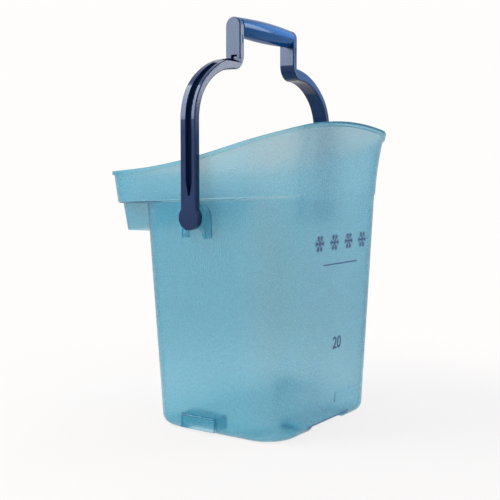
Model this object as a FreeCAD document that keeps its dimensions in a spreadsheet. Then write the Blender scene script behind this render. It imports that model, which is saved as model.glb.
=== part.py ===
import FreeCAD, Part
import math
import os
import Sketcher

# An ice tote: a moulded translucent tub with a high pouring lip, and a swinging bail.
# The bail is two channel-shaped arms, snapped to the tub's hollow pivot bosses, and a barrel grip.
# Millimetres. The tub stands on z = 0, the pivot axis runs along X above the origin,
# and the pouring lip faces minus Y.

# Driving sizes: alias, value, what it is
SIZES = [
    ("wall", 2.5, "thickness of the tub's wall and floor"),
    ("base_half_width", 130.5, "tub at the floor, from the middle to a side"),
    ("base_front", 110.5, "tub at the floor, from the pivot plane forwards"),
    ("base_back", 102.0, "tub at the floor, from the pivot plane backwards"),
    ("base_corner", 47.5, "corner radius in plan at the floor"),
    ("base_rounding", 13.0, "outer radius round the bottom edge"),
    ("brow_half_width", 150.2, "tapered tub at the brow line, from the middle to a side"),
    ("brow_front", 125.6, "tapered tub at the brow line, forwards"),
    ("brow_back", 121.9, "tapered tub at the brow line, backwards"),
    ("brow_corner", 63.0, "corner radius in plan at the brow line"),
    ("collar_height", 311.0, "underside of the collar at the pivot plane"),
    ("collar_tilt", 2.0, "degrees that the collar's underside drops towards the back"),
    ("brow_rise", 20.0, "brow line above the collar's underside"),
    ("collar_half_width", 151.0, "collar's lower end, from the middle to a side"),
    ("collar_front", 125.0, "collar's front wall, forwards"),
    ("collar_back", 171.3, "collar's lower end, backwards over the hanging pocket"),
    ("collar_corner", 62.0, "corner radius in plan of the collar"),
    ("collar_edge", 4.0, "rounding of the collar's lower edge"),
    ("collar_lean", 3.0, "how far the collar's sides and back lean out up to the brow line"),
    ("side_flare", 4.0, "how far the sides flare above the brow line"),
    ("lip_flare", 17.0, "how far the pouring lip flares forwards"),
    ("back_flare", 9.0, "how far the back flares above the brow line"),
    ("collar_top", 430.0, "height to which the collar's form is worked out"),
    ("rim_back_height", 349.5, "rim height at the back"),
    ("rim_side_rise", 49.5, "rise of the rim along a side, from the back to the front corner"),
    ("lip_crown", 16.0, "rise of the lip's middle above its corners"),
    ("flange_reach", 2.7, "how far the rim's band stands out"),
    ("flange_depth", 5.0, "height of the rim's band"),
    ("pocket_half_width", 120.0, "hanging pocket, from the middle to a side"),
    ("pocket_depth", 37.5, "how far the pocket's skirt hangs below the collar"),
    ("pocket_corner", 24.0, "corner radius of the pocket's skirt"),
    ("pocket_lean", 5.0, "how far the skirt draws in towards its lower edge"),
    ("pivot_height", 290.0, "pivot axis above the floor"),
    ("boss_radius", 19.6, "outer radius of the arched pivot boss"),
    ("boss_wall", 2.4, "wall of the pivot boss"),
    ("boss_edge", 2.5, "rounding round the boss's plate"),
    ("boss_drop", 26.4, "boss's lower edge below the pivot axis"),
    ("boss_arch_radius", 17.6, "radius of the cut-out under the boss's plate"),
    ("boss_arch_crown", 12.0, "crown of that cut-out below the pivot axis"),
    ("toe_length", 58.0, "hollow tipping grip at the foot of each side, along the side"),
    ("toe_middle", 16.0, "middle of the tipping grip, behind the pivot plane"),
    ("toe_reach", 134.0, "outer face of the tipping grip, from the middle"),
    ("toe_width", 29.0, "tipping grip, from its outer face inwards"),
    ("toe_top", 23.0, "top of the tipping grip"),
    ("toe_lift", 4.5, "lower edge of the tipping grip above the floor"),
    ("toe_edge", 1.5, "rounding of the tipping grip's outer edges"),
    ("notch_half_width", 46.0, "notch under the front edge, from the middle to an end"),
    ("notch_height", 8.5, "height of the front notch"),
    ("notch_depth", 42.0, "front notch, from the front inwards"),
    ("pad_left", 12.0, "raised pad low on the front: its left end"),
    ("pad_right", 76.0, "raised pad: its right end"),
    ("pad_bottom", 30.0, "raised pad: its lower edge"),
    ("pad_top", 43.5, "raised pad: its upper edge"),
    ("pad_proud", 0.8, "how far the pad stands out"),
    ("arm_reach", 171.2, "outer face of an arm, from the middle"),
    ("arm_thick", 9.6, "thickness of an arm"),
    ("arm_width", 24.0, "width of an arm"),
    ("arm_edge", 1.4, "rounding of an arm's long edges"),
    ("disc_radius", 16.0, "round end of an arm at the pivot"),
    ("arm_straight", 124.3, "straight length of an arm above the pivot axis"),
    ("bend_radius", 74.3, "outer radius of an arm's first bend"),
    ("bend_angle", 48.0, "degrees of the first bend"),
    ("shoulder_radius", 123.0, "outer radius of the shoulder after the bend"),
    ("shoulder_under", 16.5, "underside of the shoulder below its top at the riser"),
    ("heel_radius", 21.3, "radius under the riser's foot"),
    ("groove_width", 10.4, "width of the groove along an arm's outside"),
    ("groove_shift", 1.7, "how far the groove's middle is from the arm's middle"),
    ("groove_depth", 6.2, "depth of that groove"),
    ("groove_start", 28.0, "groove's lower end above the pivot axis"),
    ("groove_point", 19.0, "length over which the groove's lower end narrows"),
    ("groove_tip", 2.6, "width of the groove at its lower end"),
    ("groove_bite", 3.4, "how far the groove runs in under the riser's plate"),
    ("groove_notch", 2.4, "how far the groove's end rises into the riser's plate"),
    ("flange_drop", 6.6, "how far the narrow flange stays below the shoulder's top at the riser"),
    ("stud_radius", 6.0, "pivot stud"),
    ("stud_play", 0.08, "radial play of the stud in the boss's hole"),
    ("side_play", 0.4, "gap between an arm and the boss's plate"),
    ("barb_radius", 7.4, "snap head of the stud"),
    ("barb_length", 4.6, "length of the snap head"),
    ("barb_slot", 2.4, "width of the slot that lets the snap head spring"),
    ("grip_half_length", 62.9, "grip, from the middle to a riser"),
    ("grip_height", 43.1, "grip's middle above the shoulder's top at the riser"),
    ("grip_middle_radius", 14.7, "grip's radius at its middle"),
    ("grip_end_radius", 12.4, "grip's radius at its ends"),
    ("tongue_depth", 6.6, "tongue at each end of the grip, into the riser"),
    ("tongue_width", 14.0, "width of that tongue"),
    ("tongue_top", 9.2, "tongue's upper end above the grip's middle"),
    ("tongue_step", 10.0, "step in the tongue below the grip's middle; lower down it is covered"),
    ("tongue_skin", 1.6, "thickness of the riser's skin that covers the tongue's lower part"),
    ("tongue_bottom", 27.0, "tongue's lower end below the grip's middle"),
    ("latch_height", 10.6, "height of the latch window in a riser's flank"),
    ("latch_width", 3.6, "width of the latch window"),
    ("latch_drop", 18.0, "middle of the latch window below the grip's middle"),
    ("latch_sink", 0.5, "how far the latch lug stays below the riser's flank"),
    ("fit_gap", 0.1, "gap round the grip's tongues"),
]

# Shares of the height between the brow line and the collar's top at which the flare is set out
FLARE_STEPS = [0.25, 0.5, 0.75, 1.0]
LIP_CURVE = 1.5
RIM_SWELL = 1.1
RIM_LENGTH_STEPS = 17
RIM_WIDTH_STEPS = 9
# Share of the rim's length by which its sweep runs on past the back and the lip
RIM_OVERRUN = 0.1
# How far from the collar's sloping underside its edges may lie
COLLAR_LINE_BAND = 1.0
# Lengths that only have to run clear of the part
PAST = 60.0
WORLD = 600.0
# Lengths below which two places are the same
NEAR = 0.01

doc = FreeCAD.newDocument("IceTote")
sheet = doc.addObject("Spreadsheet::Sheet", "Sizes")
for row, (alias, value, note) in enumerate(SIZES, start=1):
    sheet.set(f"A{row}", note)
    sheet.set(f"B{row}", str(value))
    sheet.setAlias(f"B{row}", alias)
doc.recompute()


class Size:
    """A length that knows its number and the sheet formula that gives it."""

    def __init__(self, number, formula):
        self.number = float(number)
        self.formula = formula

    def __add__(self, other):
        other = as_size(other)
        return Size(self.number + other.number, f"({self.formula} + {other.formula})")

    def __sub__(self, other):
        other = as_size(other)
        return Size(self.number - other.number, f"({self.formula} - {other.formula})")

    def __mul__(self, factor):
        factor = as_size(factor)
        return Size(self.number * factor.number, f"({self.formula} * {factor.formula})")

    def __neg__(self):
        return Size(-self.number, f"(0 - {self.formula})")


def as_size(value):
    return value if isinstance(value, Size) else Size(value, repr(float(value)))


def size(alias):
    return Size(sheet.get(alias), f"Sizes.{alias}")


def bind(thing, name, value):
    """Ties one property to the sheet."""
    thing.setExpression(name, as_size(value).formula)


wall = size("wall")
pivot = size("pivot_height")
brow = size("collar_height") + size("brow_rise")
tilt = math.radians(size("collar_tilt").number)
collar_start = size("collar_height") - size("collar_back") * math.tan(tilt) - wall


# Shared builders

def level_section(name, height, half_width, front, back, corner):
    """A rounded rectangle in plan at one height, as a sketch tied to the sheet."""
    sketch = doc.addObject("Sketcher::SketchObject", name)
    w, f, b, r = half_width.number, front.number, back.number, corner.number
    up = FreeCAD.Vector(0, 0, 1)

    def line(start, end):
        sketch.addGeometry(Part.LineSegment(FreeCAD.Vector(*start, 0), FreeCAD.Vector(*end, 0)))

    line((r - w, -f), (w - r, -f))
    line((w, r - f), (w, b - r))
    line((w - r, b), (r - w, b))
    line((-w, b - r), (-w, r - f))
    centres = [(w - r, r - f), (w - r, b - r), (r - w, b - r), (r - w, r - f)]
    for quarter, centre in enumerate(centres):
        circle = Part.Circle(FreeCAD.Vector(*centre, 0), up, r)
        start = (quarter - 1) * math.pi / 2
        sketch.addGeometry(Part.ArcOfCircle(circle, start, start + math.pi / 2))
    for side in range(4):
        sketch.addConstraint(Sketcher.Constraint("Tangent", side, 2, 4 + side, 1))
        sketch.addConstraint(Sketcher.Constraint("Tangent", 4 + side, 2, (side + 1) % 4, 1))
    for side in (0, 2):
        sketch.addConstraint(Sketcher.Constraint("Horizontal", side))
        sketch.addConstraint(Sketcher.Constraint("Vertical", side + 1))
    for arc in (5, 6, 7):
        sketch.addConstraint(Sketcher.Constraint("Equal", 4, arc))
    sized = [
        ("right", Sketcher.Constraint("DistanceX", 1, 1, w), half_width),
        ("left", Sketcher.Constraint("DistanceX", 3, 1, -w), -half_width),
        ("front", Sketcher.Constraint("DistanceY", 0, 1, -f), -front),
        ("back", Sketcher.Constraint("DistanceY", 2, 1, b), back),
        ("corner", Sketcher.Constraint("Radius", 4, r), corner),
    ]
    for label, constraint, value in sized:
        place = sketch.addConstraint(constraint)
        sketch.renameConstraint(place, label)
        bind(sketch, f"Constraints.{label}", value)
    bind(sketch, "Placement.Base.z", height)
    return sketch


def loft(name, sections, ruled=True):
    body = doc.addObject("Part::Loft", name)
    body.Sections = sections
    body.Solid = True
    body.Ruled = ruled
    return body


def box(name, lengths, corner):
    """A box by its three lengths and its lowest corner."""
    block = doc.addObject("Part::Box", name)
    for label, value in zip(("Length", "Width", "Height"), lengths):
        bind(block, label, value)
    for axis, value in zip("xyz", corner):
        bind(block, f"Placement.Base.{axis}", value)
    return block


def along_x(name, radius, length, start, y, z):
    """A cylinder along X."""
    rod = doc.addObject("Part::Cylinder", name)
    rod.Placement.Rotation = FreeCAD.Rotation(FreeCAD.Vector(0, 1, 0), 90)
    bind(rod, "Radius", radius)
    bind(rod, "Height", length)
    for axis, value in zip("xyz", (start, y, z)):
        bind(rod, f"Placement.Base.{axis}", value)
    return rod


def fuse(name, *shapes):
    joined = doc.addObject("Part::MultiFuse", name)
    joined.Shapes = list(shapes)
    return joined


def common(name, first, second):
    shared = doc.addObject("Part::MultiCommon", name)
    shared.Shapes = [first, second]
    return shared


def cut(name, base, tool):
    result = doc.addObject("Part::Cut", name)
    result.Base = base
    result.Tool = tool
    return result


def both_sides(name, shape):
    """A shape and its mirror image across the middle."""
    twin = doc.addObject("Part::Mirroring", f"{name}_twin")
    twin.Source = shape
    twin.Normal = FreeCAD.Vector(1, 0, 0)
    return fuse(name, shape, twin)


def chosen_edges(body, wanted):
    """The numbers of a body's edges that a test on their boxes accepts."""
    doc.recompute()
    return [index for index, edge in enumerate(body.Shape.Edges, start=1) if wanted(edge.BoundBox)]


def rounded(name, body, radius, wanted):
    """Rounds the edges that a test on their boxes accepts."""
    result = doc.addObject("Part::Fillet", name)
    result.Base = body
    result.Edges = [(index, radius.number, radius.number) for index in chosen_edges(body, wanted)]
    return result


def round_bottom(name, body, radius):
    """Rounds the edges that lie in a body's lowest plane."""
    doc.recompute()
    floor = body.Shape.BoundBox.ZMin
    return rounded(name, body, radius, lambda edge: edge.ZMax < floor + NEAR)


# The tapered tub below the brow line

def taper(name, inset, lift):
    """The tapered tub, drawn in by inset, from lift above the floor to the brow line."""
    share = lift.number / brow.number

    def part_way(low, high):
        low, high = size(low), size(high)
        return low + (high - low) * share - inset

    low = level_section(
        f"{name}_low",
        lift,
        part_way("base_half_width", "brow_half_width"),
        part_way("base_front", "brow_front"),
        part_way("base_back", "brow_back"),
        part_way("base_corner", "brow_corner"),
    )
    high = level_section(
        f"{name}_high",
        brow,
        size("brow_half_width") - inset,
        size("brow_front") - inset,
        size("brow_back") - inset,
        size("brow_corner") - inset,
    )
    return loft(name, [low, high])


ground = as_size(0)
tub_outside = round_bottom("tub_outside", taper("tub_taper", ground, ground), size("base_rounding"))
tub_inside = round_bottom("tub_inside", taper("tub_hollow", wall, wall), size("base_rounding") - wall)


# The collar and flared lip above it

def collar(name, grow):
    """The collar's form, from below its underside to above the lip, grown outwards."""
    lean = size("collar_lean")
    levels = [(collar_start, ground, ground, ground), (brow, lean, ground, lean)]
    rise = size("collar_top") - brow
    for step in FLARE_STEPS:
        levels.append((
            brow + rise * step,
            lean + size("side_flare") * (2 * step - step**2),
            size("lip_flare") * step**LIP_CURVE,
            lean + size("back_flare") * step,
        ))
    sections = []
    for number, (height, side, front, back) in enumerate(levels):
        sections.append(level_section(
            f"{name}_{number}",
            height,
            size("collar_half_width") + side + grow,
            size("collar_front") + front + grow,
            size("collar_back") + back + grow,
            size("collar_corner") + grow,
        ))
    return loft(name, sections, ruled=False)


def above_collar_line(name, lift):
    """Everything above the collar's sloping underside, lifted by a wall where it is the inside."""
    slab = doc.addObject("Part::Box", name)
    slab.Length = slab.Width = slab.Height = 2 * WORLD
    turn = FreeCAD.Rotation(FreeCAD.Vector(1, 0, 0), -math.degrees(tilt))
    height = (size("collar_height") + lift).number
    slab.Placement = FreeCAD.Placement(FreeCAD.Vector(0, 0, height), turn) * FreeCAD.Placement(
        FreeCAD.Vector(-WORLD, -WORLD, 0), FreeCAD.Rotation()
    )
    return slab


def in_collar_line(edge):
    """Whether an edge lies in the collar's sloping underside."""
    drop = edge.Center.y * math.tan(tilt)
    flat = edge.ZMax - edge.ZMin < (edge.YMax - edge.YMin) * math.tan(tilt) + NEAR
    return flat and abs(edge.Center.z - size("collar_height").number + drop) < COLLAR_LINE_BAND


collar_block = common("collar_block", collar("collar_form", ground), above_collar_line("collar_line", ground))
collar_outside = rounded("collar_outside", collar_block, size("collar_edge"), in_collar_line)
collar_inside = common("collar_inside", collar("collar_hollow", -wall), above_collar_line("shelf_line", wall))


# The rim: low at the back, swept up along the sides, crowned at the lip

rim_half_width = size("collar_half_width") + size("collar_lean") + size("side_flare")
rim_front = size("collar_front") + size("lip_flare")
rim_back = size("collar_back") + size("collar_lean") + size("back_flare")


def rim_point(across, along, drop):
    """A point of the rim's sweep: across runs from -1 to 1, along from 0 at the back to 1."""
    rise = along**2 * (1 + RIM_SWELL * along**2 * (1 - along))
    height = size("rim_back_height").number + size("rim_side_rise").number * rise
    height += size("lip_crown").number * along**4 * (1 - across**2) - drop
    y = rim_back.number - along * (rim_back.number + rim_front.number)
    return FreeCAD.Vector(across * rim_half_width.number, y, height)


def above_rim(name, drop):
    """The space above the rim's sweep, lowered by drop."""
    margin = PAST / rim_half_width.number
    grid = []
    for row in range(RIM_WIDTH_STEPS):
        across = (1 + margin) * (2 * row / (RIM_WIDTH_STEPS - 1) - 1)
        grid.append([
            rim_point(across, (1 + 2 * RIM_OVERRUN) * column / (RIM_LENGTH_STEPS - 1) - RIM_OVERRUN, drop)
            for column in range(RIM_LENGTH_STEPS)
        ])
    sweep = Part.BSplineSurface()
    sweep.interpolate(grid)
    space = doc.addObject("Part::Feature", name)
    space.Shape = sweep.toShape().extrude(FreeCAD.Vector(0, 0, WORLD))
    return space


over_rim = above_rim("over_rim", 0)
over_band = above_rim("over_band", size("flange_depth").number)
band = cut("band", common("band_form", collar("flange_form", size("flange_reach")), over_band), over_rim)
walls = cut("walls", fuse("tub_and_collar", tub_outside, collar_outside), over_rim)


# The hanging pocket at the back: a skirt under the collar, open at its foot

def skirt(name, inset, past):
    """The skirt's form, from its lower edge up to the collar."""
    low = level_section(
        f"{name}_low",
        size("collar_height") - size("pocket_depth") - size("collar_back") * math.tan(tilt) - past,
        size("pocket_half_width") - size("pocket_lean") - inset,
        ground - size("base_back") + wall,
        size("collar_back") - size("pocket_lean") - inset,
        size("pocket_corner") - inset,
    )
    high = level_section(
        f"{name}_high",
        size("collar_height") + ground,
        size("pocket_half_width") - inset,
        ground - size("base_back") + wall,
        size("collar_back") - inset,
        size("pocket_corner") - inset,
    )
    return loft(name, [low, high])


pocket_skirt = cut("pocket_skirt", skirt("skirt_outside", ground, ground), skirt("skirt_inside", wall, wall))
above_collar = above_collar_line("skirt_end", wall)
pocket = cut("pocket", pocket_skirt, above_collar)


# The hollow pivot bosses, open at the foot, with a plate for the stud

boss_face = size("arm_reach") - size("arm_thick") - size("side_play")
plate_back = boss_face - size("boss_wall")
boss_root = size("base_half_width")
boss_foot = pivot - size("boss_drop")


def arched_block(name, radius, start, end, foot):
    """An upright block with an arched top about the pivot axis."""
    crown = along_x(f"{name}_crown", radius, end - start, start, ground, pivot)
    legs = box(f"{name}_legs", (end - start, radius * 2, pivot - foot), (start, -radius, foot))
    return fuse(name, crown, legs)


def on_plate(edge):
    """Whether an edge runs round the plate's face, apart from its foot."""
    return edge.XMin > boss_face.number - NEAR and edge.ZMax > boss_foot.number + NEAR


boss_form = arched_block("boss_form", size("boss_radius"), boss_root, boss_face, boss_foot)
boss_form.Refine = True
boss_block = rounded("boss_block", boss_form, size("boss_edge"), on_plate)
boss_hollow = arched_block(
    "boss_hollow", size("boss_radius") - size("boss_wall"), boss_root - wall, plate_back, boss_foot - PAST
)
arch_cut = along_x(
    "arch_cut",
    size("boss_arch_radius"),
    size("boss_wall") * 3,
    plate_back - size("boss_wall"),
    ground,
    pivot - size("boss_arch_crown") - size("boss_arch_radius"),
)
pivot_hole = along_x(
    "pivot_hole",
    size("stud_radius") + size("stud_play"),
    size("boss_wall") * 3,
    plate_back - size("boss_wall"),
    ground,
    pivot,
)
boss = cut("boss", boss_block, fuse("boss_openings", boss_hollow, arch_cut, pivot_hole))
bosses = both_sides("bosses", boss)


# Hollow tipping grips at the foot of the sides, the front notch and the raised pad

toe_start = size("toe_middle") - size("toe_length") * 0.5
toe_form = box(
    "toe_form",
    (size("toe_width"), size("toe_length"), size("toe_top") - size("toe_lift")),
    (size("toe_reach") - size("toe_width"), toe_start, size("toe_lift")),
)
toe_block = rounded(
    "toe_block",
    toe_form,
    size("toe_edge"),
    lambda edge: edge.XMin > size("toe_reach").number - NEAR and edge.ZMax > size("toe_lift").number + NEAR,
)
toe_hollow = box(
    "toe_hollow",
    (size("toe_width") - wall * 2, size("toe_length") - wall * 2, size("toe_top") - wall + PAST),
    (size("toe_reach") - size("toe_width") + wall, toe_start + wall, as_size(-PAST)),
)
toe_blocks = both_sides("toe_blocks", toe_block)
toe_hollows = both_sides("toe_hollows", toe_hollow)


def notch(name, half_width, depth, height):
    """A space under the front edge, across the middle."""
    return box(
        name,
        (half_width * 2, depth + PAST, height + PAST),
        (-half_width, -size("base_front") - PAST, as_size(-PAST)),
    )


def notch_end(name, side):
    """The rounded foot beside the notch, as a rod along Y."""
    rod = doc.addObject("Part::Cylinder", name)
    rod.Placement.Rotation = FreeCAD.Rotation(FreeCAD.Vector(1, 0, 0), -90)
    bind(rod, "Radius", size("notch_height"))
    bind(rod, "Height", size("notch_depth") + PAST)
    bind(rod, "Placement.Base.x", notch_span * side)
    bind(rod, "Placement.Base.y", -size("base_front") - PAST)
    bind(rod, "Placement.Base.z", size("notch_height"))
    return rod


notch_span = size("notch_half_width") + size("notch_height")
notch_feet = fuse("notch_feet", notch_end("notch_left", -1), notch_end("notch_right", 1))
front_notch = cut(
    "front_notch",
    notch("notch_space", notch_span, size("notch_depth"), size("notch_height")),
    notch_feet,
)
notch_roof = notch("notch_roof", notch_span + wall, size("notch_depth") + wall, size("notch_height") + wall)


pad_form = taper("pad_form", -size("pad_proud"), ground)
pad_window = box(
    "pad_window",
    (size("pad_right") - size("pad_left"), as_size(PAST), size("pad_top") - size("pad_bottom")),
    (size("pad_left"), -size("base_front") - PAST * 0.5, size("pad_bottom")),
)
pad = common("pad", pad_form, pad_window)


# The tub in one piece, as it is moulded

hollow = cut(
    "hollow",
    fuse("hollow_form", tub_inside, collar_inside),
    fuse("floor_bumps", toe_blocks, notch_roof),
)
pocket_and_bosses = cut("pocket_and_bosses", fuse("hung_parts", pocket, bosses), tub_outside)
tub_parts = fuse("tub_parts", walls, band, pocket_and_bosses, toe_blocks, pad)
solid_tub = cut("solid_tub", tub_parts, front_notch)
tote_shell = cut("tote_shell", solid_tub, fuse("tub_openings", hollow, toe_hollows))
tote_shell.Label = "tote_shell"


# Body helpers

def plane(body, role):
    return next(part for part in body.Origin.OriginFeatures if part.Role == role)


def body_sketch(body, name, role, offset=None):
    sketch = body.newObject("Sketcher::SketchObject", name)
    sketch.AttachmentSupport = (plane(body, role), [""])
    sketch.MapMode = "FlatFace"
    if offset is not None:
        bind(sketch, "AttachmentOffset.Base.z", offset)
    return sketch


def sketched_circle(body, name, radius, height, offset):
    """A circle square to the X axis, on the middle plane, at one height."""
    sketch = body_sketch(body, name, "YZ_Plane", offset)
    centre = FreeCAD.Vector(0, height.number, 0)
    sketch.addGeometry(Part.Circle(centre, FreeCAD.Vector(0, 0, 1), radius.number))
    sketch.addConstraint(Sketcher.Constraint("PointOnObject", 0, 3, -2))
    for label, constraint, value in (
        ("radius", Sketcher.Constraint("Radius", 0, radius.number), radius),
        ("height", Sketcher.Constraint("DistanceY", 0, 3, height.number), height),
    ):
        place = sketch.addConstraint(constraint)
        sketch.renameConstraint(place, label)
        bind(sketch, f"Constraints.{label}", value)
    return sketch


def sketched_rectangle(body, name, role, low, high, offset=None):
    """A rectangle by its low and high corners, each a pair of sizes."""
    sketch = body_sketch(body, name, role, offset)
    corners = [(low[0], low[1]), (high[0], low[1]), (high[0], high[1]), (low[0], high[1])]
    for index, (start, end) in enumerate(zip(corners, corners[1:] + corners[:1])):
        sketch.addGeometry(Part.LineSegment(
            FreeCAD.Vector(start[0].number, start[1].number, 0),
            FreeCAD.Vector(end[0].number, end[1].number, 0),
        ))
    for side in range(4):
        sketch.addConstraint(Sketcher.Constraint("Coincident", side, 2, (side + 1) % 4, 1))
        sketch.addConstraint(Sketcher.Constraint("Horizontal" if side % 2 == 0 else "Vertical", side))
    for label, kind, side, value in (
        ("low_x", "DistanceX", 0, low[0]),
        ("low_y", "DistanceY", 0, low[1]),
        ("high_x", "DistanceX", 2, high[0]),
        ("high_y", "DistanceY", 2, high[1]),
    ):
        place = sketch.addConstraint(Sketcher.Constraint(kind, side, 1, value.number))
        sketch.renameConstraint(place, label)
        bind(sketch, f"Constraints.{label}", value)
    return sketch


def pad_sketch(body, name, sketch, length, symmetric=False):
    feature = body.newObject("PartDesign::Pad", name)
    feature.Profile = sketch
    feature.SideType = "Symmetric" if symmetric else "One side"
    bind(feature, "Length", length)
    return feature


def pocket_sketch(body, name, sketch, length, symmetric=False):
    feature = body.newObject("PartDesign::Pocket", name)
    feature.Profile = sketch
    feature.SideType = "Symmetric" if symmetric else "One side"
    bind(feature, "Length", length)
    return feature


# An arm: round end and stud at the pivot, straight, bend, shoulder, riser

def polar(centre, radius, degrees):
    angle = math.radians(degrees)
    return (centre[0] + radius * math.cos(angle), centre[1] + radius * math.sin(angle))


def arc_between(centre, radius, start, end):
    """Three points of an arc, for a sketch."""
    return [polar(centre, radius, start + (end - start) * share) for share in (0, 0.5, 1)]


arm_outer = size("arm_reach").number
thick = size("arm_thick").number
straight_end = pivot.number + size("arm_straight").number
bend_radius = size("bend_radius").number
bend_angle = size("bend_angle").number
shoulder_radius = size("shoulder_radius").number
riser_inner = size("grip_half_length").number
riser_outer = riser_inner + thick
bend_centre = (arm_outer - bend_radius, straight_end)
bend_end = polar(bend_centre, bend_radius, bend_angle)
shoulder_centre = polar(bend_end, -shoulder_radius, bend_angle)
shoulder_end = math.degrees(math.acos((riser_outer - shoulder_centre[0]) / shoulder_radius))
shoulder_top = polar(shoulder_centre, shoulder_radius, shoulder_end)[1]
grip_axis = size("grip_height") + shoulder_top


def arm_outline():
    """The arm seen from the front: outer edge up to the riser, then back down its inner edge."""
    under = shoulder_top - size("shoulder_under").number
    heel = size("heel_radius").number
    heel_centre = (riser_inner + heel, under + heel)
    inside = shoulder_radius - thick
    across = heel_centre[0] - shoulder_centre[0]
    rise = inside - (under - shoulder_centre[1])
    reach = (across**2 + rise**2) / (2 * rise)
    blend = inside - reach
    blend_centre = (heel_centre[0], under - blend)
    blend_start = math.degrees(math.acos(across / reach))
    top = grip_axis.number
    return [
        ("line", [(arm_outer, pivot.number), (arm_outer, straight_end)]),
        ("arc", arc_between(bend_centre, bend_radius, 0, bend_angle)),
        ("arc", arc_between(shoulder_centre, shoulder_radius, bend_angle, shoulder_end)),
        ("line", [(riser_outer, shoulder_top), (riser_outer, top)]),
        ("line", [(riser_outer, top), (riser_inner, top)]),
        ("line", [(riser_inner, top), (riser_inner, heel_centre[1])]),
        ("arc", arc_between(heel_centre, heel, 180, 270)),
        ("arc", arc_between(blend_centre, blend, 90, blend_start)),
        ("arc", arc_between(shoulder_centre, inside, blend_start, bend_angle)),
        ("arc", arc_between(bend_centre, bend_radius - thick, bend_angle, 0)),
        ("line", [(arm_outer - thick, straight_end), (arm_outer - thick, pivot.number)]),
        ("line", [(arm_outer - thick, pivot.number), (arm_outer, pivot.number)]),
    ]


groove_low = pivot.number + size("groove_start").number
groove_level = groove_low + size("groove_point").number


def groove_outline():
    """The groove seen from the front: an even depth up to the riser, and in under its plate."""
    deep = size("groove_depth").number
    clear = arm_outer + thick
    end = riser_outer - size("groove_bite").number
    floor_end = math.degrees(math.acos((end - shoulder_centre[0]) / (shoulder_radius - deep)))
    roof = polar(shoulder_centre, shoulder_radius + thick, bend_angle)
    top = shoulder_top + size("groove_notch").number
    return [
        ("line", [(clear, groove_level), (arm_outer - deep, groove_level)]),
        ("line", [(arm_outer - deep, groove_level), (arm_outer - deep, straight_end)]),
        ("arc", arc_between(bend_centre, bend_radius - deep, 0, bend_angle)),
        ("arc", arc_between(shoulder_centre, shoulder_radius - deep, bend_angle, floor_end)),
        ("line", [polar(shoulder_centre, shoulder_radius - deep, floor_end), (end, top)]),
        ("line", [(end, top), (riser_outer + deep, top + deep)]),
        ("line", [(riser_outer + deep, top + deep), roof]),
        ("line", [roof, (clear, straight_end)]),
        ("line", [(clear, straight_end), (clear, groove_level)]),
    ]


def groove_point_outline():
    """The groove's lower end seen from outside: it narrows to a blunt point."""
    middle = size("groove_shift").number
    half = size("groove_width").number / 2
    tip = size("groove_tip").number / 2
    return [
        ("line", [(middle - tip, groove_low), (middle + tip, groove_low)]),
        ("line", [(middle + tip, groove_low), (middle + half, groove_level)]),
        ("line", [(middle + half, groove_level), (middle - half, groove_level)]),
        ("line", [(middle - half, groove_level), (middle - tip, groove_low)]),
    ]


def draw(sketch, outline):
    """Draws an outline on a front-facing sketch and locks it where the sizes put it."""
    for index, (kind, points) in enumerate(outline):
        places = [FreeCAD.Vector(x, z, 0) for x, z in points]
        if kind == "line":
            sketch.addGeometry(Part.LineSegment(*places))
        else:
            sketch.addGeometry(Part.Arc(*places))
        sketch.addConstraint(Sketcher.Constraint("Block", index))


def is_strap_edge(edge):
    """Whether an edge runs along an arm's flank or round its riser's top."""
    flank = edge.YMax - edge.YMin < NEAR
    crown = edge.XMax - edge.XMin < NEAR and edge.YMax - edge.YMin > NEAR
    return (flank or crown) and edge.ZMax - edge.ZMin > NEAR


def rounded_disc(body, name, start, end, radius, edge):
    """A disc about the pivot axis, its rims rounded, turned from its half section."""
    section = body_sketch(body, f"{name}_section", "XZ_Plane")
    axis_z = pivot.number
    rim = axis_z + radius
    draw(section, [
        ("line", [(start, axis_z), (end, axis_z)]),
        ("line", [(end, axis_z), (end, rim - edge)]),
        ("arc", arc_between((end - edge, rim - edge), edge, 0, 90)),
        ("line", [(end - edge, rim), (start + edge, rim)]),
        ("arc", arc_between((start + edge, rim - edge), edge, 90, 180)),
        ("line", [(start, rim - edge), (start, axis_z)]),
    ])
    disc = body.newObject("PartDesign::Revolution", name)
    disc.Profile = section
    disc.ReferenceAxis = (section, ["Edge1"])
    disc.Angle = 360
    return disc


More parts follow.
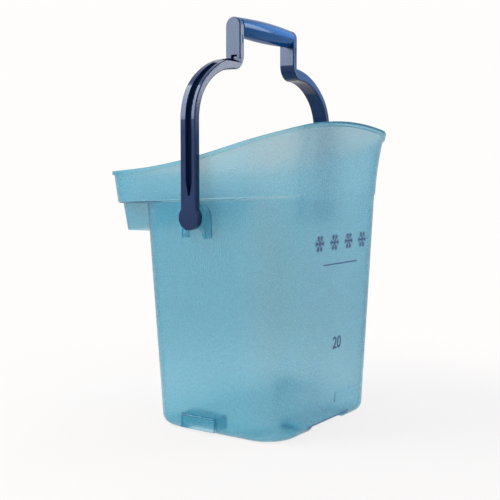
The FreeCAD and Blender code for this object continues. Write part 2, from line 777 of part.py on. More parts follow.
def make_arm(name):
    body = doc.addObject("PartDesign::Body", name)
    inner_face = size("arm_reach") - size("arm_thick")
    strap = body_sketch(body, f"{name}_side", "XZ_Plane")
    draw(strap, arm_outline())
    pad_sketch(body, f"{name}_strap", strap, size("arm_width"), symmetric=True)
    crown_radius = size("arm_width") * 0.5
    crown = sketched_circle(body, f"{name}_crown", crown_radius, grip_axis, size("grip_half_length"))
    riser = pad_sketch(body, f"{name}_riser_top", crown, size("arm_thick"))
    edges = body.newObject("PartDesign::Fillet", f"{name}_edges")
    edges.Base = (riser, [f"Edge{index}" for index in chosen_edges(riser, is_strap_edge)])
    bind(edges, "Radius", size("arm_edge"))
    rounded_disc(
        body, f"{name}_round_end", inner_face.number, arm_outer,
        size("disc_radius").number, size("arm_edge").number,
    )
    groove = body_sketch(body, f"{name}_groove_side", "XZ_Plane", -size("groove_shift"))
    draw(groove, groove_outline())
    pocket_sketch(body, f"{name}_groove", groove, size("groove_width"), symmetric=True)
    point = body_sketch(body, f"{name}_groove_end", "YZ_Plane", size("arm_reach"))
    draw(point, groove_point_outline())
    pocket_sketch(body, f"{name}_groove_point", point, size("groove_depth"))
    riser_face = size("grip_half_length") + size("arm_thick")
    top = as_size(shoulder_top)
    flange = sketched_rectangle(
        body, f"{name}_flange_side", "XZ_Plane",
        (riser_face - size("groove_bite"), top - size("flange_drop")), (riser_face + PAST, top),
        -size("groove_shift") - size("groove_width") * 0.5,
    )
    pocket_sketch(body, f"{name}_flange_drop", flange, size("arm_width"))
    stud_length = size("side_play") * 2 + size("boss_wall")
    stud = sketched_circle(body, f"{name}_stud_end", size("stud_radius"), pivot, inner_face - stud_length)
    pad_sketch(body, f"{name}_stud", stud, stud_length)
    tip = inner_face - stud_length - size("barb_length")
    barb = sketched_circle(body, f"{name}_barb_end", size("barb_radius"), pivot, tip)
    pad_sketch(body, f"{name}_barb", barb, size("barb_length"))
    slot = sketched_rectangle(
        body, f"{name}_slot_end", "YZ_Plane",
        (-size("barb_slot") * 0.5, pivot - size("barb_radius") * 2),
        (size("barb_slot") * 0.5, pivot + size("barb_radius") * 2),
        inner_face,
    )
    pocket_sketch(body, f"{name}_slot", slot, stud_length + size("barb_length"))
    gap = size("fit_gap")
    side = size("tongue_width") * 0.5 + gap
    step = grip_axis - size("tongue_step") - gap
    end = size("grip_half_length") + size("tongue_depth") + gap
    slide = sketched_rectangle(
        body, f"{name}_slide_end", "YZ_Plane", (-side, step), (side, grip_axis + size("arm_width")), end
    )
    pocket_sketch(body, f"{name}_slide", slide, size("tongue_depth") + gap * 2)
    socket = sketched_rectangle(
        body, f"{name}_socket_end", "YZ_Plane",
        (-side, grip_axis - size("tongue_bottom") - gap), (side, grip_axis), end,
    )
    pocket_sketch(body, f"{name}_socket", socket, size("tongue_depth") - size("tongue_skin") + gap * 2)
    latch_middle = grip_axis - size("latch_drop")
    start = size("grip_half_length") + size("tongue_depth") - size("latch_width")
    window = sketched_rectangle(
        body, f"{name}_latch_end", "XZ_Plane",
        (start - gap, latch_middle - size("latch_height") * 0.5 - gap),
        (start + size("latch_width") + gap, latch_middle + size("latch_height") * 0.5 + gap),
    )
    body.Tip = pocket_sketch(body, f"{name}_latch", window, size("arm_width") * 2, symmetric=True)
    return body


arm_right = make_arm("arm_right")
arm_right.Label = "arm_right"
arm_left = make_arm("arm_left")
arm_left.Label = "arm_left"
arm_left.Placement.Rotation = FreeCAD.Rotation(FreeCAD.Vector(0, 0, 1), 180)


# The grip: a barrel with a latched tongue at each end

def make_grip(name):
    body = doc.addObject("PartDesign::Body", name)
    half = size("grip_half_length")
    middle = size("grip_middle_radius")
    end = size("grip_end_radius")
    side = body_sketch(body, f"{name}_side", "XZ_Plane")
    axis_z = grip_axis.number
    left, right = -half.number, half.number
    draw(side, [
        ("line", [(left, axis_z), (right, axis_z)]),
        ("line", [(right, axis_z), (right, axis_z + end.number)]),
        ("arc", [(right, axis_z + end.number), (0, axis_z + middle.number), (left, axis_z + end.number)]),
        ("line", [(left, axis_z + end.number), (left, axis_z)]),
    ])
    barrel = body.newObject("PartDesign::Revolution", f"{name}_barrel")
    barrel.Profile = side
    barrel.ReferenceAxis = (side, ["Edge1"])
    barrel.Angle = 360
    width = size("tongue_width") * 0.5
    tongue = sketched_rectangle(
        body, f"{name}_tongue_end", "YZ_Plane",
        (-width, grip_axis - size("tongue_step")), (width, grip_axis + size("tongue_top")), half,
    )
    right_tongue = pad_sketch(body, f"{name}_tongue_right", tongue, size("tongue_depth"))
    hook = sketched_rectangle(
        body, f"{name}_hook_end", "YZ_Plane",
        (-width, grip_axis - size("tongue_bottom")), (width, grip_axis), half + size("tongue_skin"),
    )
    right_hook = pad_sketch(body, f"{name}_hook_right", hook, size("tongue_depth") - size("tongue_skin"))
    latch_middle = grip_axis - size("latch_drop")
    lug = sketched_rectangle(
        body, f"{name}_lug_end", "XZ_Plane",
        (half + size("tongue_depth") - size("latch_width"), latch_middle - size("latch_height") * 0.5),
        (half + size("tongue_depth"), latch_middle + size("latch_height") * 0.5),
    )
    span = size("arm_width") - size("latch_sink") * 2
    right_lug = pad_sketch(body, f"{name}_lug_right", lug, span, symmetric=True)
    twin = body.newObject("PartDesign::Mirrored", f"{name}_twin")
    twin.Originals = [right_tongue, right_hook, right_lug]
    twin.MirrorPlane = (plane(body, "YZ_Plane"), [""])
    body.Tip = twin
    return body


grip = make_grip("grip")
grip.Label = "grip"

NODES = [tote_shell, arm_left, arm_right, grip]


# Checks and export

doc.recompute()
for thing in doc.Objects:
    if "Invalid" in thing.State or "Error" in thing.State:
        raise RuntimeError(f"{thing.Name} could not be built: {thing.State}")
for node in NODES:
    if node.Shape.isNull() or not node.Shape.isValid():
        raise RuntimeError(f"{node.Label} has no valid shape")
    if len(node.Shape.Solids) != 1:
        raise RuntimeError(f"{node.Label} is {len(node.Shape.Solids)} solids instead of one")

os.makedirs("parts", exist_ok=True)
for node in NODES:
    node.Shape.exportStep(os.path.join("parts", f"{node.Label}.step"))
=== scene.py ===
import math

import bpy
from bpy.props import FloatProperty, FloatVectorProperty, IntProperty, PointerProperty
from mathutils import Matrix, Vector


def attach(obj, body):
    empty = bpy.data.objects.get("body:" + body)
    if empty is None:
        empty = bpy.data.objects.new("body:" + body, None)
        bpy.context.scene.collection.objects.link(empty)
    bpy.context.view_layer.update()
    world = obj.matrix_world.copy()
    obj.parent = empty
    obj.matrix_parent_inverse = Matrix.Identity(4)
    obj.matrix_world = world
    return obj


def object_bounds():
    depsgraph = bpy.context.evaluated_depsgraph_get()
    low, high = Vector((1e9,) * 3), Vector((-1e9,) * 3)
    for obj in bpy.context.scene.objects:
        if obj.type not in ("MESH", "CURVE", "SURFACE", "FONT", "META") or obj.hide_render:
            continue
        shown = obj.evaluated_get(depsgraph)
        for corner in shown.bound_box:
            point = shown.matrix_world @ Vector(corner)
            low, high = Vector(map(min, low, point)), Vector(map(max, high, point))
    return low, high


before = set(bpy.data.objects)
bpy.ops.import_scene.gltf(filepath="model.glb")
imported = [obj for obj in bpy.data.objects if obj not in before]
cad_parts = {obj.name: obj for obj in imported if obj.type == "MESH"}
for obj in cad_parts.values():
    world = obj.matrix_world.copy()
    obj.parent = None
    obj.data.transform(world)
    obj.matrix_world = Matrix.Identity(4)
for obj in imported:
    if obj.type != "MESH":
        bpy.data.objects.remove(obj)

bl_info = {
    "name": "Ice tote",
    "version": (1, 0, 0),
    "blender": (4, 5, 0),
    "location": "3D View > Sidebar > Ice tote",
    "description": "Finishes a translucent ice tote, its navy bail and its front print, and sets its studio",
    "category": "Object",
}

TUB = "tub"
SHELL, GRIP = "tote_shell", "grip"
ARMS = ("arm_left", "arm_right")
CAD_LOW, CAD_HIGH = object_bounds()
WHITE = (1.0, 1.0, 1.0)

# The noise patterns in the materials: waves per metre, and the band in which most noise values lie
CLOUD_WAVES, GRAIN_WAVES, FLOW_WAVES, MARK_WAVES, COVER_WAVES = 7.0, 1400.0, 30.0, 260.0, 500.0
NOISE_LOW, NOISE_HIGH = 0.3, 0.7
BUMP_DEPTH = 0.0002
TUB_IOR, HANDLE_IOR = 1.42, 1.5

# The stage: the floor's disc, the sensor's width in mm, and the height that the lamps aim at, in tote heights
FLOOR_RADIUS, FLOOR_CORNERS = 6, 96
SENSOR_WIDTH = 36
LAMP_AIM = 0.8


# Sizes and colours

def colour(name, description, default):
    return FloatVectorProperty(
        name=name, description=description, default=default, size=3, min=0.0, max=1.0, subtype="COLOR"
    )


def length(name, description, default):
    return FloatProperty(name=name, description=description, default=default, unit="LENGTH", precision=4)


def amount(name, description, default):
    return FloatProperty(name=name, description=description, default=default)


class TOTE_PG_finish(bpy.types.PropertyGroup):
    """Colours and gloss of the mouldings and the ink."""

    tub: colour("Tub", "Tint of the light that goes through the frosted tub", (0.97, 0.98, 1.0))
    tub_milk: colour("Tub milk", "Teal that the tub's plastic scatters back", (0.0, 0.50, 0.72))
    # Painted shade: the next three settings give the tub's lowest part a deeper teal tint, standing in for the
    # shade at its foot
    tub_foot_shade: colour("Tub foot", "Tint of that light in the tub's thick bottom", (0.82, 0.92, 0.95))
    foot_shade_height: length("Foot height", "Height above the floor below which the bottom's tint shows", 0.024)
    foot_shade_blend: length("Foot blend", "Distance above and below that height over which the tint fades", 0.004)
    tub_depth: colour("Tub depth", "Tint that the tub's plastic takes on with depth", (0.0, 0.77, 0.92))
    tub_density: amount("Tub density", "How fast that tint deepens, per metre", 118.0)
    tub_milky: amount("Tub milkiness", "Share of the light that scatters back instead of going through", 0.15)
    tub_roughness: amount("Tub roughness", "Frosting of the tub", 0.25)
    arm: colour("Arms", "Navy of the bail's arms", (0.006, 0.020, 0.080))
    grip: colour("Grip", "Blue of the grip", (0.001, 0.085, 0.28))
    sheen: colour("Arm sheen", "Tint of the reflections in the arms", (0.66, 0.80, 1.0))
    grip_sheen: colour("Grip sheen", "Tint of the reflections in the grip", (0.22, 0.50, 0.90))
    gloss: amount("Handle roughness", "Roughness of the arms and the grip", 0.14)
    ink: colour("Ink", "Navy of the print", (0.02, 0.05, 0.16))


class TOTE_PG_print(bpy.types.PropertyGroup):
    """Places and sizes of the front print."""

    middle: length("Middle", "Middle of the print, to the right of the tote's middle", 0.011)
    flake_height: length("Flake height", "Height of the row of snowflakes above the floor", 0.2545)
    flake_size: length("Flake size", "Width of a snowflake", 0.0235)
    flake_step: length("Flake step", "Distance from one snowflake to the next", 0.0395)
    flakes: IntProperty(name="Flakes", description="How many snowflakes the row has", default=4, min=1)
    line_height: length("Line height", "Height of the thin bar above the floor", 0.225)
    line_length: length("Line length", "Length of the thin bar", 0.093)
    line_width: length("Line width", "Height of the thin bar itself", 0.0016)
    number_height: length("Number height", "Middle of the capacity number above the floor", 0.1145)
    number_size: length("Number size", "Height of the capacity number's figures", 0.0165)
    number_weight: length("Number weight", "How far the figures' outlines are pushed out", 0.0004)
    ink_thickness: length("Ink thickness", "Thickness of the ink", 0.00008)


class TOTE_PG_stage(bpy.types.PropertyGroup):
    """The camera, the lamps and the backdrop."""

    camera_place: FloatVectorProperty(
        name="Camera", description="Where the camera stands", default=(-1.05658, -0.70408, 0.33704),
        size=3, subtype="XYZ_LENGTH",
    )
    camera_aim: FloatVectorProperty(
        name="Aim", description="What the middle of the picture shows", default=(-0.01028, 0.01496, 0.23814),
        size=3, subtype="XYZ_LENGTH",
    )
    lens: FloatProperty(name="Lens", description="Focal length", default=64.05, unit="CAMERA")
    backdrop: colour("Backdrop", "Colour of the backdrop and the floor in the picture", (1.0, 0.983, 0.974))
    room: amount("Room", "Plain light from the room all round", 0.42)
    mirrored: amount("Mirrored room", "How bright the room is in gloss, apart from its lamps", 0.8)
    behind: amount("Behind", "How bright the room is through the frosted plastic", 0.72)
    floor: colour("Floor", "Colour of the floor under the light", (0.62, 0.615, 0.61))
    floor_dim: colour("Dim floor", "Colour of the floor away from the light", (0.35, 0.35, 0.35))
    floor_lift: amount("Floor lift", "Share of the floor that shows as plain backdrop", 0.82)
    floor_near: length("Near floor", "Distance from the tote within which the floor is seen", 0.3)
    floor_far: length("Far floor", "Distance from the tote beyond which only the backdrop is seen", 0.75)


GROUPS = {"tote_finish": TOTE_PG_finish, "tote_print": TOTE_PG_print, "tote_stage": TOTE_PG_stage}


def settings(group):
    return getattr(bpy.context.scene, group)


# Material helpers

def new_material(name):
    """A material with an empty node tree and its output node."""
    material = bpy.data.materials.new(name)
    material.use_nodes = True
    tree = material.node_tree
    tree.nodes.clear()
    return material, tree, tree.nodes.new("ShaderNodeOutputMaterial")


def add_node(tree, kind, sockets=None, **values):
    """A node with its settings and the values of its sockets."""
    made = tree.nodes.new(kind)
    for name, value in values.items():
        setattr(made, name, value)
    for name, value in (sockets or {}).items():
        made.inputs[name].default_value = value
    return made


def link(tree, source, target):
    tree.links.new(source, target)


def solid(shade):
    return (*shade, 1.0)


def object_noise(tree, scale, detail=2.0, stretch=(1.0, 1.0, 1.0)):
    """Noise fixed to the piece, with its scale in waves per metre."""
    place = add_node(tree, "ShaderNodeTexCoord")
    mapping = add_node(tree, "ShaderNodeMapping", {"Scale": stretch})
    noise = add_node(tree, "ShaderNodeTexNoise", {"Scale": scale, "Detail": detail})
    link(tree, place.outputs["Object"], mapping.inputs["Vector"])
    link(tree, mapping.outputs["Vector"], noise.inputs["Vector"])
    return noise.outputs["Fac"]


def span(tree, source, low, high):
    """Stretches a noise value from its usual middle band to a range."""
    mapped = add_node(tree, "ShaderNodeMapRange", {
        "From Min": NOISE_LOW, "From Max": NOISE_HIGH, "To Min": low, "To Max": high,
    })
    link(tree, source, mapped.inputs["Value"])
    return mapped.outputs["Result"]


def tinted(tree, source, dark, light):
    """A colour between two shades, by a value."""
    mix = add_node(tree, "ShaderNodeMix", data_type="RGBA")
    mix.inputs["A"].default_value = solid(dark)
    mix.inputs["B"].default_value = solid(light)
    link(tree, source, mix.inputs["Factor"])
    return mix.outputs["Result"]


def scaled(shade, factor):
    return tuple(min(1.0, part * factor) for part in shade)


def uneven(tree, source, shade, spread):
    """A colour that is a little darker and lighter by a value."""
    return tinted(tree, source, scaled(shade, 1 - spread), scaled(shade, 1 + spread))


def smooth_step(tree, source, low, high, start=0.0, end=1.0):
    """A value that goes softly from start to end while another goes from low to high."""
    step = add_node(tree, "ShaderNodeMapRange", {
        "From Min": low, "From Max": high, "To Min": start, "To Max": end,
    }, interpolation_type="SMOOTHSTEP")
    link(tree, source, step.inputs["Value"])
    return step.outputs["Result"]


def combined(tree, operation, first, second):
    """One value worked out from two others."""
    made = add_node(tree, "ShaderNodeMath", operation=operation)
    link(tree, first, made.inputs[0])
    link(tree, second, made.inputs[1])
    return made.outputs["Value"]


def height_on_piece(tree):
    place = add_node(tree, "ShaderNodeTexCoord")
    split = add_node(tree, "ShaderNodeSeparateXYZ")
    link(tree, place.outputs["Object"], split.inputs["Vector"])
    return split.outputs["Z"]


def bump(tree, source, strength):
    made = add_node(tree, "ShaderNodeBump", {"Strength": strength, "Distance": BUMP_DEPTH})
    link(tree, source, made.inputs["Height"])
    return made.outputs["Normal"]


# Materials

def frosted_blue():
    """The tub's plastic: clear and milky at once, frosted, with painted shade that darkens its foot, and bluer
    with depth.
    """
    look = settings("tote_finish")
    material, tree, output = new_material("frosted_blue")
    cloud = span(tree, object_noise(tree, CLOUD_WAVES, 3.0, (1.0, 1.0, 0.35)), 0.0, 1.0)
    grain = object_noise(tree, GRAIN_WAVES, 1.0)
    frost = span(tree, grain, look.tub_roughness - 0.04, look.tub_roughness + 0.04)
    clear = add_node(tree, "ShaderNodeBsdfPrincipled", {"Transmission Weight": 1.0, "IOR": TUB_IOR})
    milk = add_node(tree, "ShaderNodeBsdfPrincipled", {"IOR": TUB_IOR})
    mix = add_node(tree, "ShaderNodeMixShader", {"Fac": look.tub_milky})
    # Painted shade: below the foot height the light through the tub takes on the deeper foot tint
    foot = add_node(tree, "ShaderNodeMix", data_type="RGBA")
    foot.inputs["A"].default_value = solid(look.tub_foot_shade)
    link(tree, uneven(tree, cloud, look.tub, 0.04), foot.inputs["B"])
    above_foot_shade = smooth_step(
        tree, height_on_piece(tree), look.foot_shade_height - look.foot_shade_blend, look.foot_shade_height + look.foot_shade_blend
    )
    link(tree, above_foot_shade, foot.inputs["Factor"])
    milky = uneven(tree, cloud, look.tub_milk, 0.04)
    for place, (part, shade) in enumerate(((clear, foot.outputs["Result"]), (milk, milky)), start=1):
        link(tree, shade, part.inputs["Base Color"])
        link(tree, frost, part.inputs["Roughness"])
        link(tree, bump(tree, grain, 0.03), part.inputs["Normal"])
        link(tree, part.outputs["BSDF"], mix.inputs[place])
    depth = add_node(tree, "ShaderNodeVolumeAbsorption", {
        "Color": solid(look.tub_depth), "Density": look.tub_density,
    })
    link(tree, mix.outputs["Shader"], output.inputs["Surface"])
    link(tree, depth.outputs["Volume"], output.inputs["Volume"])
    return material


def glossy_plastic(name, shade, sheen):
    """Polished moulded plastic with a trace of flow in its colour and handling marks in its gloss."""
    look = settings("tote_finish")
    material, tree, output = new_material(name)
    flow = span(tree, object_noise(tree, FLOW_WAVES, 3.0), 0.0, 1.0)
    marks = object_noise(tree, MARK_WAVES, 4.0, (1.0, 0.3, 0.3))
    shader = add_node(tree, "ShaderNodeBsdfPrincipled", {"IOR": HANDLE_IOR, "Specular Tint": solid(sheen)})
    link(tree, uneven(tree, flow, shade, 0.1), shader.inputs["Base Color"])
    link(tree, span(tree, marks, look.gloss - 0.04, look.gloss + 0.05), shader.inputs["Roughness"])
    link(tree, bump(tree, marks, 0.06), shader.inputs["Normal"])
    link(tree, shader.outputs["BSDF"], output.inputs["Surface"])
    return material


def print_ink():
    """Flat ink, a little uneven in cover."""
    look = settings("tote_finish")
    material, tree, output = new_material("print_ink")
    cover = span(tree, object_noise(tree, COVER_WAVES, 3.0), 0.0, 1.0)
    shader = add_node(tree, "ShaderNodeBsdfPrincipled", {"Roughness": 0.5})
    link(tree, tinted(tree, cover, look.ink, scaled(look.ink, 1.35)), shader.inputs["Base Color"])
    link(tree, shader.outputs["BSDF"], output.inputs["Surface"])
    return material


# Object helpers

def only(thing):
    """Selects one object and makes it the active one."""
    bpy.ops.object.select_all(action="DESELECT")
    thing.select_set(True)
    bpy.context.view_layer.objects.active = thing


def dress(thing, material):
    thing.data.materials.clear()
    thing.data.materials.append(material)


def finished(thing, name, body, material):
    """Names a piece, puts its place in its mesh and hands it to its body."""
    only(thing)
    bpy.ops.object.transform_apply(location=True, rotation=True, scale=True)
    thing.name = name
    thing.data.name = name
    dress(thing, material)
    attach(thing, body)


def apply_modifier(thing, kind, name, **values):
    only(thing)
    made = thing.modifiers.new(name, kind)
    for key, value in values.items():
        setattr(made, key, value)
    bpy.ops.object.modifier_apply(modifier=made.name)


# The front print

# Distance in front of the tub at which drawings are made, and the height of a figure in its font's sizes
PRINT_GAP = 0.01
FIGURE_SHARE = 0.7
# A snowflake's bars, as a share of its width
BAR_SHARE = 0.085
# Where an arm's twigs start and how long they are, as shares of the arm's reach, and how they slant
TWIGS = ((0.34, 0.3), (0.62, 0.22))
TWIG_OUT, TWIG_ASIDE = 0.7, 0.75


def grow_edge(thing, place, near, way):
    """In edit mode, extrudes the edge whose middle is near a place."""
    bpy.ops.mesh.select_all(action="DESELECT")
    bpy.ops.object.mode_set(mode="OBJECT")
    points = thing.data.vertices
    for edge in thing.data.edges:
        start, end = (points[index].co for index in edge.vertices)
        edge.select = ((start + end) / 2 - place).length < near
    bpy.ops.object.mode_set(mode="EDIT")
    bpy.ops.mesh.extrude_edges_move(TRANSFORM_OT_translate={"value": way})


def flake_shape(width):
    """A plain snowflake in the XZ plane: a hexagon whose six edges grow into arms with side twigs."""
    reach = width / 2
    bar = width * BAR_SHARE
    near = bar / 10
    inner = bar / (2 * math.tan(math.pi / 6))
    bpy.ops.object.select_all(action="DESELECT")
    bpy.ops.mesh.primitive_circle_add(vertices=6, radius=bar, fill_type="NGON", rotation=(math.pi / 2, 0, 0))
    flake = bpy.context.object
    bpy.ops.object.transform_apply(location=False, rotation=True, scale=False)
    bpy.ops.object.mode_set(mode="EDIT")
    bpy.ops.mesh.select_mode(type="EDGE")
    stops = [0.0]
    for start, _ in TWIGS:
        stops += [start, start + bar / reach]
    stops.append(1.0)
    for sixth in range(6):
        angle = sixth * math.pi / 3
        way = Vector((math.cos(angle), 0, math.sin(angle)))
        side = Vector((-math.sin(angle), 0, math.cos(angle)))
        at = inner
        for low, high in zip(stops, stops[1:]):
            step = (high - low) * (reach - inner)
            grow_edge(flake, way * at, near, way * step)
            at += step
        for start, share in TWIGS:
            foot = way * (inner + (start + bar / reach / 2) * (reach - inner))
            for aside in (side, -side):
                twig = (way * TWIG_OUT + aside * TWIG_ASIDE) * reach * share
                grow_edge(flake, foot + aside * bar / 2, near, twig)
    bpy.ops.mesh.select_all(action="SELECT")
    bpy.ops.mesh.normals_make_consistent(inside=False)
    bpy.ops.object.mode_set(mode="OBJECT")
    return flake


def print_on_wall(thing, name, material):
    """Lays a flat drawing on the tub's front wall and gives the ink its thickness."""
    only(thing)
    bpy.ops.object.transform_apply(location=True, rotation=True, scale=True)
    ink = settings("tote_print").ink_thickness
    apply_modifier(
        thing, "SHRINKWRAP", "lay_on_wall", wrap_method="PROJECT", target=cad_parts[SHELL],
        use_project_y=True, use_project_x=False, use_project_z=False,
        use_negative_direction=False, use_positive_direction=True, offset=ink / 4,
    )
    apply_modifier(thing, "SOLIDIFY", "ink_thickness", thickness=ink, offset=1.0)
    only(thing)
    bpy.ops.object.mode_set(mode="EDIT")
    bpy.ops.mesh.select_all(action="SELECT")
    bpy.ops.mesh.normals_make_consistent(inside=False)
    bpy.ops.object.mode_set(mode="OBJECT")
    finished(thing, name, TUB, material)


def before_wall(x, z):
    """A place in front of the tub, from which a drawing is laid on its wall."""
    return Vector((x, CAD_LOW.y - PRINT_GAP, z))


class TOTE_OT_print(bpy.types.Operator):
    """Prints a row of snowflakes, a thin bar and the capacity number on the front wall"""

    bl_idname = "tote.print"
    bl_label = "Front print"

    def execute(self, context):
        size = settings("tote_print")
        ink = print_ink()
        flake = flake_shape(size.flake_size)
        first = size.middle - size.flake_step * (size.flakes - 1) / 2
        for number in range(size.flakes):
            copy = flake.copy()
            copy.data = flake.data.copy()
            context.collection.objects.link(copy)
            copy.location = before_wall(first + size.flake_step * number, size.flake_height)
            print_on_wall(copy, f"print_snowflake_{number + 1}", ink)
        bpy.data.objects.remove(flake)

        bpy.ops.object.select_all(action="DESELECT")
        bpy.ops.mesh.primitive_plane_add(
            size=1, location=before_wall(size.middle, size.line_height), rotation=(math.pi / 2, 0, 0)
        )
        bar = context.object
        bar.scale = (size.line_length, size.line_width, 1)
        print_on_wall(bar, "print_bar", ink)

        bpy.ops.object.select_all(action="DESELECT")
        bpy.ops.object.text_add(
            location=before_wall(size.middle, size.number_height), rotation=(math.pi / 2, 0, 0)
        )
        figures = context.object
        figures.data.body = "20"
        figures.data.align_x = "CENTER"
        figures.data.align_y = "CENTER"
        figures.data.size = size.number_size / FIGURE_SHARE
        figures.data.offset = size.number_weight
        only(figures)
        bpy.ops.object.convert(target="MESH")
        print_on_wall(context.object, "print_capacity", ink)
        return {"FINISHED"}


# The mouldings

class TOTE_OT_tub(bpy.types.Operator):
    """Gives the tub its frosted translucent plastic"""

    bl_idname = "tote.tub"
    bl_label = "Tub"

    def execute(self, context):
        dress(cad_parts[SHELL], frosted_blue())
        return {"FINISHED"}


class TOTE_OT_bail(bpy.types.Operator):
    """Gives the bail's arms and grip their polished plastics"""

    bl_idname = "tote.bail"
    bl_label = "Bail"

    def execute(self, context):
        look = settings("tote_finish")
        navy = glossy_plastic("navy_gloss", look.arm, look.sheen)
        for arm in ARMS:
            dress(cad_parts[arm], navy)
        dress(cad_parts[GRIP], glossy_plastic("grip_gloss", look.grip, look.grip_sheen))
        return {"FINISHED"}


# The stage

SOFTBOXES = {
    # name: (azimuth from +X, elevation, distance, width, height, radiance, colour, whether gloss mirrors it)
    "tall_left": (132, 28.5, 1.7, 1.3, 1.5, 6.5, WHITE, True),
    "right": (-44, 20, 1.9, 0.62, 1.02, 5.5, WHITE, True),
    "far_right": (-20, 22, 2.1, 0.9, 1.3, 2.6, (0.04, 0.36, 1.0), True),
    "front": (-112, 42, 2.2, 1.2, 1.0, 1.0, WHITE, False),
    "top": (20, 75, 1.9, 1.3, 1.3, 2.2, WHITE, False),
}


def add_softbox(name, azimuth, elevation, distance, width, height, radiance, shade, mirrored, aim):
    """An area lamp in a direction in degrees, as bright as its radiance asks, and unseen through plastic."""
    data = bpy.data.lights.new(name, "AREA")
    data.shape = "RECTANGLE"
    data.size = width
    data.size_y = height
    data.energy = radiance * math.pi * width * height
    data.color = shade
    lamp = bpy.data.objects.new(name, data)
    bpy.context.collection.objects.link(lamp)
    lamp.visible_glossy = mirrored
    lamp.visible_transmission = False
    turn, lift = math.radians(azimuth), math.radians(elevation)
    way = Vector((math.cos(turn) * math.cos(lift), math.sin(turn) * math.cos(lift), math.sin(lift)))
    lamp.location = aim + way * distance
    lamp.rotation_mode = "QUATERNION"
    lamp.rotation_quaternion = way.to_track_quat("Z", "Y")


def studio_world():
    """Plain room light, and the room as the eye, gloss and the frosted plastic each see it."""
    stage = settings("tote_stage")
    world = bpy.data.worlds.new("studio")
    bpy.context.scene.world = world
    world.use_nodes = True
    tree = world.node_tree
    tree.nodes.clear()
    path = add_node(tree, "ShaderNodeLightPath")
    room = add_node(tree, "ShaderNodeBackground", {"Color": solid(WHITE), "Strength": stage.room})
    shown = room.outputs["Background"]
    for ray, shade, strength in (
        ("Is Glossy Ray", WHITE, stage.mirrored),
        ("Is Transmission Ray", WHITE, stage.behind),
        ("Is Camera Ray", stage.backdrop, 1.0),
    ):
        other = add_node(tree, "ShaderNodeBackground", {"Color": solid(shade), "Strength": strength})
        mix = add_node(tree, "ShaderNodeMixShader")
        link(tree, path.outputs[ray], mix.inputs["Fac"])
        link(tree, shown, mix.inputs[1])
        link(tree, other.outputs["Background"], mix.inputs[2])
        shown = mix.outputs["Shader"]
    output = add_node(tree, "ShaderNodeOutputWorld")
    link(tree, shown, output.inputs["Surface"])


def floor_material():
    """A pale matt floor that keeps its shadow and fades into the backdrop, or into the room behind plastic."""
    stage = settings("tote_stage")
    near, far = stage.floor_near, stage.floor_far
    material, tree, output = new_material("pale_floor")
    rays = add_node(tree, "ShaderNodeLightPath").outputs
    matt = add_node(tree, "ShaderNodeBsdfDiffuse")
    plain = add_node(tree, "ShaderNodeEmission", {"Color": solid(stage.backdrop)})
    place = add_node(tree, "ShaderNodeTexCoord")
    length_node = add_node(tree, "ShaderNodeVectorMath", operation="LENGTH")
    link(tree, place.outputs["Object"], length_node.inputs[0])
    distance = length_node.outputs["Value"]
    dim = smooth_step(tree, distance, far, far * 2)
    link(tree, tinted(tree, dim, stage.floor, stage.floor_dim), matt.inputs["Color"])
    seen = combined(tree, "MAXIMUM", rays["Is Camera Ray"], rays["Is Glossy Ray"])
    seen = combined(tree, "MAXIMUM", seen, rays["Is Transmission Ray"])
    share = combined(tree, "MULTIPLY", seen, smooth_step(tree, distance, near, far, stage.floor_lift))
    fade = smooth_step(tree, distance, near, far, 1.0, stage.behind)
    link(tree, combined(tree, "MAXIMUM", rays["Is Camera Ray"], fade), plain.inputs["Strength"])
    mix = add_node(tree, "ShaderNodeMixShader")
    link(tree, share, mix.inputs["Fac"])
    link(tree, matt.outputs["BSDF"], mix.inputs[1])
    link(tree, plain.outputs["Emission"], mix.inputs[2])
    link(tree, mix.outputs["Shader"], output.inputs["Surface"])
    return material


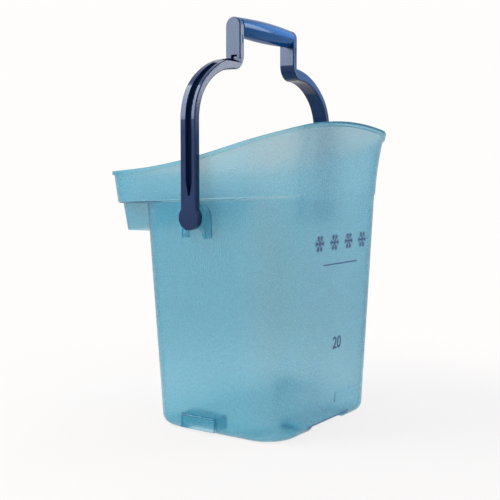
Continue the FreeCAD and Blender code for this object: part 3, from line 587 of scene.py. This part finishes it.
class TOTE_OT_stage(bpy.types.Operator):
    """Sets the floor, the room, the lamps and the camera"""

    bl_idname = "tote.stage"
    bl_label = "Stage"

    def execute(self, context):
        stage = settings("tote_stage")
        bpy.ops.object.select_all(action="DESELECT")
        bpy.ops.mesh.primitive_circle_add(
            vertices=FLOOR_CORNERS, radius=FLOOR_RADIUS, fill_type="NGON", location=(0, 0, CAD_LOW.z)
        )
        floor = context.object
        floor.name = "floor"
        dress(floor, floor_material())
        studio_world()
        aim = Vector((0, 0, CAD_HIGH.z * LAMP_AIM))
        for name, values in SOFTBOXES.items():
            add_softbox(name, *values, aim)
        data = bpy.data.cameras.new("camera")
        data.lens = stage.lens
        data.sensor_width = SENSOR_WIDTH
        camera = bpy.data.objects.new("camera", data)
        context.collection.objects.link(camera)
        camera.location = stage.camera_place
        camera.rotation_mode = "QUATERNION"
        sight = Vector(stage.camera_aim) - Vector(stage.camera_place)
        camera.rotation_quaternion = sight.to_track_quat("-Z", "Y")
        context.scene.camera = camera
        context.scene.view_settings.view_transform = "Standard"
        return {"FINISHED"}


# The panel and the add-on's registration

OPERATORS = (TOTE_OT_stage, TOTE_OT_tub, TOTE_OT_bail, TOTE_OT_print)


class TOTE_PT_panel(bpy.types.Panel):
    """Lists the steps that finish the tote"""

    bl_idname = "TOTE_PT_panel"
    bl_label = "Ice tote"
    bl_space_type = "VIEW_3D"
    bl_region_type = "UI"
    bl_category = "Ice tote"

    def draw(self, context):
        for group, kind in GROUPS.items():
            box = self.layout.box()
            for name in kind.__annotations__:
                box.prop(settings(group), name)
        for operator in OPERATORS:
            self.layout.operator(operator.bl_idname)


def register():
    for kind in (*GROUPS.values(), *OPERATORS, TOTE_PT_panel):
        bpy.utils.register_class(kind)
    for group, kind in GROUPS.items():
        setattr(bpy.types.Scene, group, PointerProperty(type=kind))


def unregister():
    for group in GROUPS:
        delattr(bpy.types.Scene, group)
    for kind in reversed((*GROUPS.values(), *OPERATORS, TOTE_PT_panel)):
        bpy.utils.unregister_class(kind)


def main():
    register()
    bpy.ops.tote.stage()
    bpy.ops.tote.tub()
    bpy.ops.tote.bail()
    bpy.ops.tote.print()


if __name__ == "__main__":
    main()
